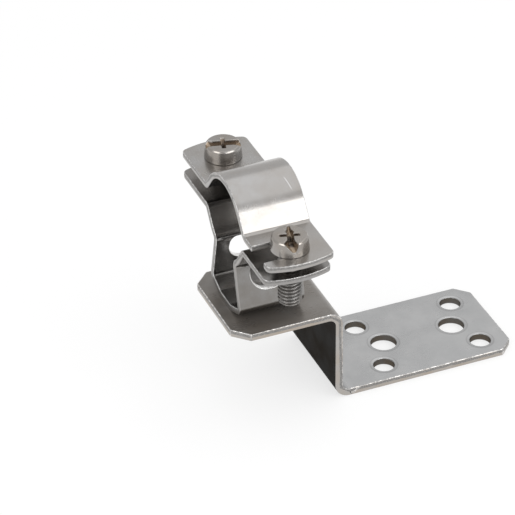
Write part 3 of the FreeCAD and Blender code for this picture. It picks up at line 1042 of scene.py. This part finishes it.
class ThreadMaker:
    """Makes a screw's threaded shank from a geometry node tree."""

    SIZES = ("Radius", "Pitch", "Depth", "Length", "Tip")
    COUNTS = ("Around", "Rings")
    FLANK = (0.14, 0.90)
    RUNOUT = (0.0, 1.0 * MM)
    TIP_CURVE = 1.6

    def __init__(self) -> None:
        """Build the tree once."""
        self.tree = bpy.data.node_groups.new("thread_shank", "GeometryNodeTree")
        self.declare()
        self.lay_out()

    def declare(self) -> None:
        """Give the tree its named inputs and its output."""
        faces = self.tree.interface
        faces.new_socket("Geometry", in_out="INPUT", socket_type="NodeSocketGeometry")
        for name in self.SIZES:
            faces.new_socket(name, in_out="INPUT", socket_type="NodeSocketFloat")
        for name in self.COUNTS:
            faces.new_socket(name, in_out="INPUT", socket_type="NodeSocketInt")
        faces.new_socket("Steel", in_out="INPUT", socket_type="NodeSocketMaterial")
        faces.new_socket("Geometry", in_out="OUTPUT", socket_type="NodeSocketGeometry")

    def lay_out(self) -> None:
        """Lay out the nodes: a grid wrapped round the axis, its radius following the helix."""
        trees = Trees(self.tree)
        given = trees.add("NodeGroupInput")
        grid = trees.add("GeometryNodeMeshGrid")
        grid.inputs["Size X"].default_value = 1.0
        grid.inputs["Size Y"].default_value = 1.0
        trees.join(trees.maths("ADD", given.outputs["Around"], 1.0), grid.inputs["Vertices X"])
        trees.join(trees.maths("ADD", given.outputs["Rings"], 1.0), grid.inputs["Vertices Y"])
        place = trees.split(trees.add("GeometryNodeInputPosition").outputs[0])
        turn = trees.maths("ADD", place["X"], 0.5)
        down = trees.maths("SUBTRACT", 0.5, place["Y"])
        depth = trees.maths("MULTIPLY", down, given.outputs["Length"])
        radius = self.radius(trees, given, turn, depth)
        angle = trees.maths("MULTIPLY", turn, math.tau)
        wrapped = trees.add("ShaderNodeCombineXYZ")
        trees.join(trees.maths("MULTIPLY", radius, trees.maths("COSINE", angle)), wrapped.inputs[0])
        trees.join(trees.maths("MULTIPLY", radius, trees.maths("SINE", angle)), wrapped.inputs[1])
        trees.join(trees.maths("MULTIPLY", depth, -1.0), wrapped.inputs[2])
        move = trees.add("GeometryNodeSetPosition")
        trees.join(grid.outputs["Mesh"], move.inputs["Geometry"])
        trees.join(wrapped.outputs[0], move.inputs["Position"])
        real = trees.add("GeometryNodeRealizeInstances")
        trees.join(move.outputs[0], real.inputs[0])
        steel = trees.add("GeometryNodeSetMaterial")
        trees.join(real.outputs[0], steel.inputs["Geometry"])
        trees.join(given.outputs["Steel"], steel.inputs["Material"])
        trees.join(steel.outputs[0], trees.add("NodeGroupOutput").inputs[0])

    def radius(self, trees: Trees, given: bpy.types.Node, turn: Socket, depth: Socket) -> Socket:
        """The shank's radius: its groove runs out under the head, and its tip is rounded off.

        Args:
            trees: The tree's nodes.
            given: The node of the tree's inputs.
            turn: The turn round the axis, from 0 to 1.
            depth: How far down the shank.

        Returns:
            The radius's socket.
        """
        full, pitch, groove, length, tip = (given.outputs[name] for name in self.SIZES)
        climb = trees.maths("FRACT", trees.maths("ADD", trees.maths("DIVIDE", depth, pitch), turn))
        tooth = trees.maths("SUBTRACT", trees.maths("MULTIPLY", climb, 2.0), 1.0)
        flank = trees.remap(trees.maths("ABSOLUTE", tooth), self.FLANK)
        sunk = trees.maths("MULTIPLY", trees.maths("MULTIPLY", flank, groove),
                           trees.remap(depth, self.RUNOUT))
        past = trees.maths("SUBTRACT", tip, trees.maths("SUBTRACT", length, depth))
        taper = trees.maths("DIVIDE", trees.maths("MAXIMUM", past, 0.0), tip)
        rounded = trees.maths("MULTIPLY", trees.maths("POWER", taper, self.TIP_CURVE), tip)
        return trees.maths("MINIMUM", trees.maths("SUBTRACT", full, sunk),
                           trees.maths("SUBTRACT", full, rounded))

    def make(self, name: str, sizes: ThreadSizes, steel: bpy.types.Material) -> bmesh.types.BMesh:
        """The thread's closed surface, its top at the origin, pointing down.

        Args:
            name: The name of the object it is made on.
            sizes: The thread's sizes.
            steel: The material.

        Returns:
            The mesh, to be freed by the caller.
        """
        holder = new_object(name, bpy.data.meshes.new(name))
        modifier = holder.modifiers.new("thread", "NODES")
        modifier.node_group = self.tree
        rings = round(sizes.length / sizes.pitch * sizes.steps_in_pitch)
        values = {"Radius": sizes.radius, "Pitch": sizes.pitch, "Depth": sizes.depth,
                  "Length": sizes.length, "Tip": sizes.tip, "Around": sizes.around,
                  "Rings": rings, "Steel": steel}
        for item in self.tree.interface.items_tree:
            if item.in_out == "INPUT" and item.name in values:
                modifier[item.identifier] = values[item.name]
        graph = bpy.context.evaluated_depsgraph_get()
        mesh = bpy.data.meshes.new_from_object(holder.evaluated_get(graph))
        bpy.data.objects.remove(holder)
        shank = bmesh.new()
        shank.from_mesh(mesh)
        bpy.data.meshes.remove(mesh)
        bmesh.ops.remove_doubles(shank, verts=shank.verts, dist=MERGE_DISTANCE)
        rims = [edge for edge in shank.edges if edge.is_boundary]
        bmesh.ops.holes_fill(shank, edges=rims)
        bmesh.ops.recalc_face_normals(shank, faces=shank.faces)
        return shank


class Recess(Enum):
    """A slot's stations: the distance along it, its half widths at the top and the floor, its depth,
    and how far its floor lies aside."""

    EVEN = ((-6.0, 2.4, 1.5, 0.62, 0.0), (-4.5, 1.75, 1.2, 0.85, 0.0), (-2.6, 1.12, 0.7, 1.9, 0.0),
            (2.6, 1.12, 0.7, 1.9, 0.0), (4.5, 1.75, 1.2, 0.85, 0.0), (6.0, 2.4, 1.5, 0.62, 0.0))
    SPREAD = ((-6.0, 2.9, 0.35, 2.3, -0.75), (-4.3, 1.9, 0.35, 2.2, -0.55),
              (-2.0, 0.85, 0.5, 2.05, -0.1), (0.4, 0.85, 0.4, 2.1, -0.2),
              (1.5, 1.05, 0.3, 1.6, -0.35), (2.7, 0.5, 0.15, 1.1, -0.15),
              (4.4, 0.24, 0.1, 0.35, -0.08), (6.0, 0.2, 0.1, 0.3, -0.05))


@dataclass
class CheeseHeadScrew:
    """A cheese-head screw with a forged slot and cross, and a real thread. Sizes are in millimetres."""

    node: str
    body: str
    turn: float
    recess: Recess = Recess.EVEN
    slot: str = "screw_steel"
    head_radius: float = 4.85
    head_height: float = 3.8
    head_taper: float = math.tan(math.radians(5.0))
    rim_radius: float = 0.46
    rim_share: float = 0.71
    seat_chamfer: float = 0.12
    neck_radius: float = 2.9
    neck_depth: float = 0.6
    slot_rise: float = 1.0
    cross_rise: float = 0.4
    cross_span: float = 2.75
    cross_width: float = 1.15
    cross_floor: float = 0.7
    cross_depth: float = 2.5
    cross_taper: float = 0.45
    facets: int = 128
    grain_size: float = 0.085
    softening: float = 0.5
    soft_rounds: int = 5
    bottom_depth: float = 1.9
    end_from: float = 2.1
    end_loss: float = 0.42
    clean_wall: float = 0.16
    clean_below: float = 0.9
    mouth_above: float = 1.0
    mouth_share: float = 0.6
    thread: ThreadSizes = field(default_factory=ThreadSizes)

    def blank(self) -> bpy.types.Object:
        """The head before its recess is forged, with its seat at the origin.

        Returns:
            The blank's object.
        """
        top = self.head_radius - self.head_height * self.head_taper
        rings = ((self.neck_radius, -self.neck_depth), (self.neck_radius, 0.0),
                 (self.head_radius - self.seat_chamfer, 0.0), (self.head_radius, self.seat_chamfer),
                 (top, self.head_height - self.rim_radius),
                 (top - self.rim_share * self.rim_radius, self.head_height))
        around = [math.tau * step / self.facets for step in range(self.facets)]
        verts = [(radius * math.cos(angle), radius * math.sin(angle), level)
                 for radius, level in rings for angle in around]
        last = len(verts) - self.facets
        faces = [(ring + step, ring + (step + 1) % self.facets,
                  ring + self.facets + (step + 1) % self.facets, ring + self.facets + step)
                 for ring in range(0, last, self.facets) for step in range(self.facets)]
        faces += [tuple(reversed(range(self.facets))), tuple(range(last, len(verts)))]
        return closed_shape(f"{self.node}_head", verts, faces)

    def slot_tool(self) -> bpy.types.Object:
        """The tool that forges the slot, with its spread ends.

        Returns:
            The tool's object.
        """
        verts, faces = [], []
        top_level = self.head_height + self.slot_rise
        for along, top, floor, depth, aside in self.recess.value:
            high = top + (top - floor) / depth * self.slot_rise
            verts += [(along, -high, top_level), (along, high, top_level),
                      (along, aside + floor, self.head_height - depth),
                      (along, aside - floor, self.head_height - depth)]
        last = len(verts) - 4
        for base in range(0, last, 4):
            faces += [(base + side, base + (side + 1) % 4, base + 4 + (side + 1) % 4, base + 4 + side)
                      for side in range(4)]
        faces += [(0, 1, 2, 3), (last + 3, last + 2, last + 1, last)]
        return closed_shape("slot_tool", verts, faces)

    def cross_tools(self) -> list[bpy.types.Object]:
        """The tools that forge the cross's two grooves, tapered towards their floor.

        Returns:
            The two tools.
        """
        levels = ((self.head_height + self.cross_rise, self.cross_span, self.cross_width / 2),
                  (self.head_height - self.cross_depth, self.cross_span * self.cross_taper,
                   self.cross_floor / 2))
        faces = [(0, 1, 2, 3), (4, 7, 6, 5), (0, 4, 5, 1), (1, 5, 6, 2), (2, 6, 7, 3), (3, 7, 4, 0)]
        ways = [(x * reach, y * half, level) for level, reach, half in levels
                for x, y in ((-1, -1), (1, -1), (1, 1), (-1, 1))]
        across = [(-y, x, level) for x, y, level in ways]
        return [closed_shape("cross_tool", verts, faces) for verts in (ways, across)]

    def head(self) -> bpy.types.Mesh:
        """The forged head: the blank cut, then softened at every edge as cold forging does.

        Returns:
            The head's mesh, its seat at the origin and its slot along X.
        """
        blank = self.blank()
        for tool in (self.slot_tool(), *self.cross_tools()):
            carve(blank, tool)
        blank.data.transform(Matrix.Scale(1 / MM, 4))
        grain = blank.modifiers.new("fine", "REMESH")
        grain.mode = "VOXEL"
        grain.voxel_size = self.grain_size
        soft = blank.modifiers.new("soft", "SMOOTH")
        soft.factor = self.softening
        soft.iterations = self.soft_rounds
        finished(blank)
        mesh = blank.data
        bpy.data.objects.remove(blank)
        depths = mesh.attributes.new(RECESS_DEPTH, "FLOAT", "POINT")
        for vert, depth in zip(mesh.vertices, depths.data):
            depth.value = self.residue(vert.co)
        mesh.transform(Matrix.Scale(MM, 4))
        return mesh

    def residue(self, place: Vector) -> float:
        """How deep a place lies in the recess, for its residue and its painted shade.

        Args:
            place: The place on the head, its seat at the origin.

        Returns:
            The depth: 1 at the recess's bottom, less towards its spread ends, 0 outside.
        """
        outward = math.hypot(place.x, place.y)
        wall = self.head_radius - self.head_taper * place.z - self.clean_wall
        towards_end = min(1.0, max(0.0, outward - self.end_from))
        sunk = (self.head_height - place.z) / self.bottom_depth
        sunk = max(0.0, min(sunk, 1.0 - self.end_loss * towards_end))
        if outward < wall - self.rim_radius / 2 and place.z > self.clean_below:
            return sunk
        at_mouth = outward < wall and place.z > self.mouth_above
        return self.mouth_share * sunk if at_mouth else 0.0

    def build(self, maker: ThreadMaker, rack: FinishRack) -> bpy.types.Object:
        """Join the head and the threaded shank into one piece.

        Args:
            maker: The thread's maker.
            rack: The finishes.

        Returns:
            The new piece, at its place.
        """
        low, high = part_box(self.node)
        seat = Vector(((low[0] + high[0]) / 2, (low[1] + high[1]) / 2, high[2] - self.head_height * MM))
        whole = bmesh.new()
        head = self.head()
        whole.from_mesh(head)
        for face in whole.faces:
            face.material_index = 0
        shank = maker.make(f"{self.node}_shank", self.thread, rack.get(Steel.THREAD))
        for face in shank.faces:
            face.material_index = 1
        part = bpy.data.meshes.new("shank")
        shank.to_mesh(part)
        shank.free()
        whole.from_mesh(part)
        bpy.data.meshes.remove(part)
        whole.transform(Matrix.Translation(seat) @ Matrix.Rotation(self.turn, 4, "Z"))
        mesh = bpy.data.meshes.new(f"{self.node}_dressed")
        whole.to_mesh(mesh)
        whole.free()
        bpy.data.meshes.remove(head)
        mesh.materials.append(rack.get(Steel.HEAD))
        mesh.materials.append(rack.get(Steel.THREAD))
        return new_object(f"{self.node}_dressed", mesh)

    def dress(self, piece: bpy.types.Object) -> None:
        """Smooth a built screw's shading and tie it to its body.

        Args:
            piece: The built screw.
        """
        piece.data.shade_smooth()
        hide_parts(self.node)
        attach(piece, self.body)


@dataclass(frozen=True)
class SoftBox:
    """A lamp that faces the clamp. Its brightness is its radiance; the white background has 1."""

    name: str
    direction: Triple
    distance: float
    size: Pair
    brightness: float

    def light(self, target: Triple) -> None:
        """Put the lamp into the scene.

        Args:
            target: The point that it faces.
        """
        data = bpy.data.lights.new(self.name, "AREA")
        data.shape = "RECTANGLE"
        data.size, data.size_y = self.size
        data.energy = math.pi * self.size[0] * self.size[1] * self.brightness
        lamp = bpy.data.objects.new(self.name, data)
        aim = Vector(self.direction).normalized()
        lamp.location = Vector(target) + aim * self.distance
        lamp.rotation_euler = aim.to_track_quat("Z", "Y").to_euler()
        bpy.context.scene.collection.objects.link(lamp)


@dataclass
class Studio:
    """The floor, lamps, background and camera."""

    floor_size: float = 6.0
    floor_drop: float = 0.05 * MM
    floor_level: float = 0.88
    floor_share: float = 0.68
    shadow_reach: Pair = (0.06, 0.22)
    background: float = 1.0
    zenith: float = 0.95
    zenith_from: float = 0.45
    surround: float = 1.1
    lamps: tuple[SoftBox, ...] = (
        SoftBox("front_box", (0.315, -0.765, 0.53), 0.55, (0.5, 0.165), 3.6),
        SoftBox("side_box", (-0.774, -0.307, 0.549), 0.55, (0.32, 0.18), 3.0),
        SoftBox("top_box", (0.3, 0.14, 0.94), 0.7, (0.9, 0.9), 0.44))
    target: Triple = (-0.03, 0.0, 0.035)
    camera_place: Triple = (-0.28093, -0.57216, 0.45850)
    camera_right: Triple = (0.922344, -0.386288, -0.007959)
    camera_down: Triple = (-0.223143, -0.515760, -0.827163)
    camera_forward: Triple = (0.315418, 0.764705, -0.561905)
    lens: float = 209.75
    sensor: float = 36.0
    farthest: float = 10.0

    def floor(self) -> None:
        """A pale floor that keeps the object's soft shadow."""
        mesh = bpy.data.meshes.new("floor")
        half, level = self.floor_size / 2, -self.floor_drop
        corners = [(x * half, y * half, level) for x, y in ((-1, -1), (1, -1), (1, 1), (-1, 1))]
        mesh.from_pydata(corners, [], [(0, 1, 2, 3)])
        floor = new_object("floor", mesh)
        material = bpy.data.materials.new("pale_floor")
        material.use_nodes = True
        trees = Trees(material.node_tree)
        matt = trees.add("ShaderNodeBsdfDiffuse")
        matt.inputs["Color"].default_value = grey(self.floor_level)
        glow = trees.add("ShaderNodeEmission")
        glow.inputs["Strength"].default_value = self.background
        away = trees.add("ShaderNodeVectorMath", operation="LENGTH")
        trees.join(trees.add("ShaderNodeTexCoord").outputs["Object"], away.inputs[0])
        share = trees.remap(away.outputs["Value"], self.shadow_reach, (self.floor_share, 1.0))
        mix = trees.add("ShaderNodeMixShader")
        trees.join(trees.maths("MULTIPLY", self.seen_rays(trees), share), mix.inputs[0])
        trees.join(matt.outputs[0], mix.inputs[1])
        trees.join(glow.outputs[0], mix.inputs[2])
        trees.join(mix.outputs[0], trees.add("ShaderNodeOutputMaterial").inputs[0])
        mesh.materials.append(material)

    @staticmethod
    def seen_rays(trees: Trees) -> Socket:
        """1 for rays from the camera or seen in metal or glass, otherwise 0.

        Args:
            trees: The material's or the world's nodes.

        Returns:
            The share's socket.
        """
        path = trees.add("ShaderNodeLightPath").outputs
        seen = trees.maths("MAXIMUM", path["Is Camera Ray"], path["Is Glossy Ray"])
        return trees.maths("MAXIMUM", seen, path["Is Transmission Ray"])

    def surroundings(self) -> None:
        """A white background to look at, and a plainer one to light by."""
        world = bpy.data.worlds.new("studio")
        bpy.context.scene.world = world
        world.use_nodes = True
        trees = Trees(world.node_tree)
        seen = trees.add("ShaderNodeBackground")
        upward = trees.split(trees.add("ShaderNodeTexCoord").outputs["Generated"])["Z"]
        trees.join(trees.remap(upward, (self.zenith_from, 1.0), (self.background, self.zenith)),
                   seen.inputs["Strength"])
        soft = trees.add("ShaderNodeBackground")
        soft.inputs["Strength"].default_value = self.surround
        mix = trees.add("ShaderNodeMixShader")
        trees.join(self.seen_rays(trees), mix.inputs[0])
        trees.join(soft.outputs[0], mix.inputs[1])
        trees.join(seen.outputs[0], mix.inputs[2])
        trees.join(mix.outputs[0], trees.add("ShaderNodeOutputWorld").inputs[0])

    def camera(self) -> None:
        """The camera at the photograph's place."""
        data = bpy.data.cameras.new("camera")
        data.lens = self.lens
        data.sensor_width = self.sensor
        data.clip_end = self.farthest
        camera = bpy.data.objects.new("camera", data)
        right, down, forward = (Vector(way) for way in (self.camera_right, self.camera_down,
                                                        self.camera_forward))
        pose = Matrix((right, -down, -forward)).transposed().to_4x4()
        camera.matrix_world = Matrix.Translation(self.camera_place) @ pose
        bpy.context.scene.collection.objects.link(camera)
        bpy.context.scene.camera = camera

    def set_up(self) -> None:
        """Put everything in place."""
        bpy.context.scene.view_settings.view_transform = "Standard"
        self.floor()
        self.surroundings()
        for lamp in self.lamps:
            lamp.light(self.target)
        self.camera()


def pressed_pieces() -> list[PressedPiece]:
    """The pieces of sheet and the rivet.

    Returns:
        The pieces in the order in which they are built.
    """
    bar = (Steel.BRACKET, Steel.BRACKET_EDGE, Steel.BRACKET_RIM_HIGHLIGHT, Steel.BRACKET_INNER_SHADE,
           Steel.BRACKET_HOLE_SHADE)
    folded = (Steel.SADDLE_SHADED, Steel.SADDLE_EDGE_SHADED, Steel.STRIP_RIM_HIGHLIGHT, Steel.SADDLE_SHADED, Steel.WINDOW_EDGE_HIGHLIGHT)
    arched = (Steel.STRAP, Steel.STRAP_EDGE, Steel.STRIP_RIM_HIGHLIGHT, Steel.STRAP)
    rivet = (Steel.RIVET,) * 4
    return [
        FixingBracket("fixing_bracket", "holder", "bracket_steel", bar, 2.0, (-45.0, -10.0, 26.5)),
        ClampSaddle("clamp_saddle", "holder", "clamp_steel", folded, 1.6, (-52.0, -21.0, 49.7)),
        PressedPiece("clamp_strap", "strap", "clamp_steel", arched, 1.6, (-45.0, 0.0, 63.6)),
        PressedPiece("saddle_rivet", "holder", "screw_steel", rivet, 1.0, (-45.0, 0.0, 30.0), 0.1 * MM),
    ]


def main() -> None:
    """Build, dress and place every piece of the holder."""
    logging.basicConfig(level=logging.INFO, format="%(name)s: %(message)s")
    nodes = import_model()["nodes"]
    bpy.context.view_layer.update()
    rack = FinishRack()
    for kind in pressed_pieces():
        piece = kind.build(nodes)
        kind.dress(piece, rack)
        log.info("%s: %d faces", piece.name, len(piece.data.polygons))
    maker = ThreadMaker()
    for screw in (CheeseHeadScrew("front_screw", "front_screw_body", math.radians(74.0), Recess.SPREAD),
                  CheeseHeadScrew("rear_screw", "rear_screw_body", math.radians(-16.0))):
        piece = screw.build(maker, rack)
        screw.dress(piece)
        log.info("%s: %d faces", piece.name, len(piece.data.polygons))
    Studio().set_up()


if __name__ == "__main__":
    main()
